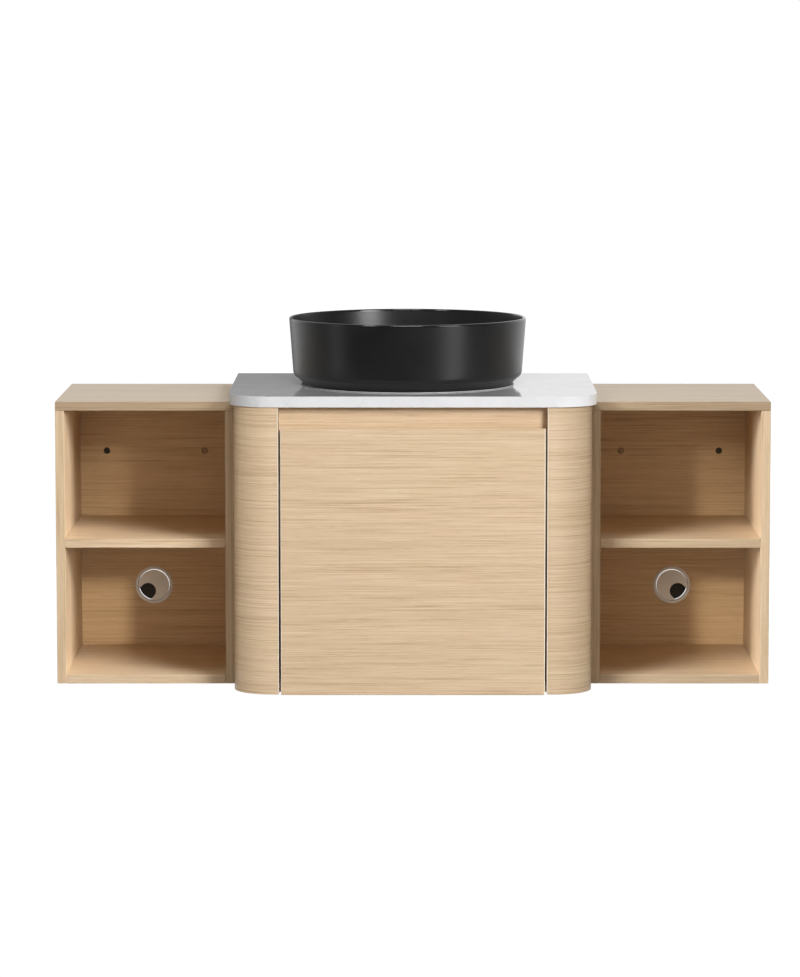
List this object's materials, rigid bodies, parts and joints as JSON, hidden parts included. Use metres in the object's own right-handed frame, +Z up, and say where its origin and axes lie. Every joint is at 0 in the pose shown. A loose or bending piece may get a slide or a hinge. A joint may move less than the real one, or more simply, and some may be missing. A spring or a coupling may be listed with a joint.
{
  "type": "vessel sink vanity",
  "caption": "Wall-hung vanity: a round vessel basin on a stone-topped drawer cabinet with rounded corners, between two open shelf cabinets.",
  "frame": {"origin": "middle of the hanging rail's rear face, where the centre cabinet meets the wall, 420 mm above the cabinet's underside", "axes": "+Y into the wall, so the front faces -Y; +Z up; +X to the right of someone facing the vanity"},
  "size_m": [1.2, 0.46, 0.614],
  "materials": {
    "oak_laminate": "light oak grain laminate, matt, with horizontal grain",
    "white_stone": "polished white engineered stone with faint grey veins",
    "black_ceramic": "matt black glaze",
    "silicone": "translucent grey sealant",
    "chrome": "polished",
    "white_plastic": "moulded, fine matt texture",
    "black_rubber": "matt",
    "brass": "machined",
    "grey_board": "grey textile-print melamine board",
    "zinc_steel": "bright zinc plate",
    "dark_steel": "dark coating",
    "taupe_plastic": "satin moulded plastic",
    "black_foam": "open-cell foam"
  },
  "bodies": {
    "vanity": {"left_curved_side": "oak_laminate", "right_curved_side": "oak_laminate", "cabinet_bottom": "oak_laminate", "left_inner_panel": "oak_laminate", "right_inner_panel": "oak_laminate", "front_rail": "oak_laminate", "hanging_rail": "oak_laminate", "lower_back_rail": "oak_laminate", "left_cabinet_top": "oak_laminate", "left_cabinet_outer_side": "oak_laminate", "left_cabinet_inner_side": "oak_laminate", "left_cabinet_shelf": "oak_laminate", "left_cabinet_floor": "oak_laminate", "left_cabinet_back": "oak_laminate", "right_cabinet_top": "oak_laminate", "right_cabinet_outer_side": "oak_laminate", "right_cabinet_inner_side": "oak_laminate", "right_cabinet_shelf": "oak_laminate", "right_cabinet_floor": "oak_laminate", "right_cabinet_back": "oak_laminate", "countertop": "white_stone", "basin": "black_ceramic", "basin_seal_ring": "silicone", "waste_body": "chrome", "tailpiece": "chrome", "pop_up_guide": "white_plastic", "waste_top_washer": "black_rubber", "waste_lower_washer": "black_rubber", "waste_lock_nut": "brass", "left_slide_cabinet_member": "zinc_steel", "left_hanger_strip": "dark_steel", "left_hanger_screw": "zinc_steel", "left_grommet_ring": "taupe_plastic", "left_grommet_foam": "black_foam", "right_slide_cabinet_member": "zinc_steel", "right_hanger_strip": "dark_steel", "right_hanger_screw": "zinc_steel", "right_grommet_ring": "taupe_plastic", "right_grommet_foam": "black_foam"},
    "drawer": {"drawer_front": "oak_laminate", "drawer_left_side": "grey_board", "drawer_right_side": "grey_board", "drawer_bottom": "grey_board", "drawer_left_back": "grey_board", "drawer_right_back": "grey_board", "plumbing_shield": "white_plastic", "left_slide_drawer_member": "zinc_steel", "right_slide_drawer_member": "zinc_steel"},
    "left_slide_middle": {"left_slide_middle_member": "zinc_steel"},
    "right_slide_middle": {"right_slide_middle_member": "zinc_steel"},
    "stopper": {"pop_up_stopper": "chrome", "stopper_seal": "black_rubber"},
    "left_cap": {"left_grommet_cap": "taupe_plastic"},
    "right_cap": {"right_grommet_cap": "taupe_plastic"}
  },
  "joints": [
    {"name": "drawer_slide", "type": "slide", "parent": "vanity", "child": "drawer", "axis": [0, -1, 0], "range_m": [0, 0.35]},
    {"name": "left_slide_middle_travel", "type": "slide", "parent": "vanity", "child": "left_slide_middle", "axis": [0, -1, 0], "range_m": [0, 0.175]},
    {"name": "right_slide_middle_travel", "type": "slide", "parent": "vanity", "child": "right_slide_middle", "axis": [0, -1, 0], "range_m": [0, 0.175]},
    {"name": "stopper_lift", "type": "slide", "parent": "vanity", "child": "stopper", "axis": [0, 0, 1], "range_m": [0, 0.009]},
    {"name": "left_cap_turn", "type": "hinge", "parent": "vanity", "child": "left_cap", "pos_m": [-0.457, -0.0112, -0.296], "axis": [0, -1, 0], "continuous": true},
    {"name": "right_cap_turn", "type": "hinge", "parent": "vanity", "child": "right_cap", "pos_m": [0.457, -0.0112, -0.296], "axis": [0, -1, 0], "continuous": true}
  ],
  "couplings": [
    {"joint": "left_slide_middle_travel", "follows": "drawer_slide", "ratio": 0.5},
    {"joint": "right_slide_middle_travel", "follows": "drawer_slide", "ratio": 0.5}
  ]
}
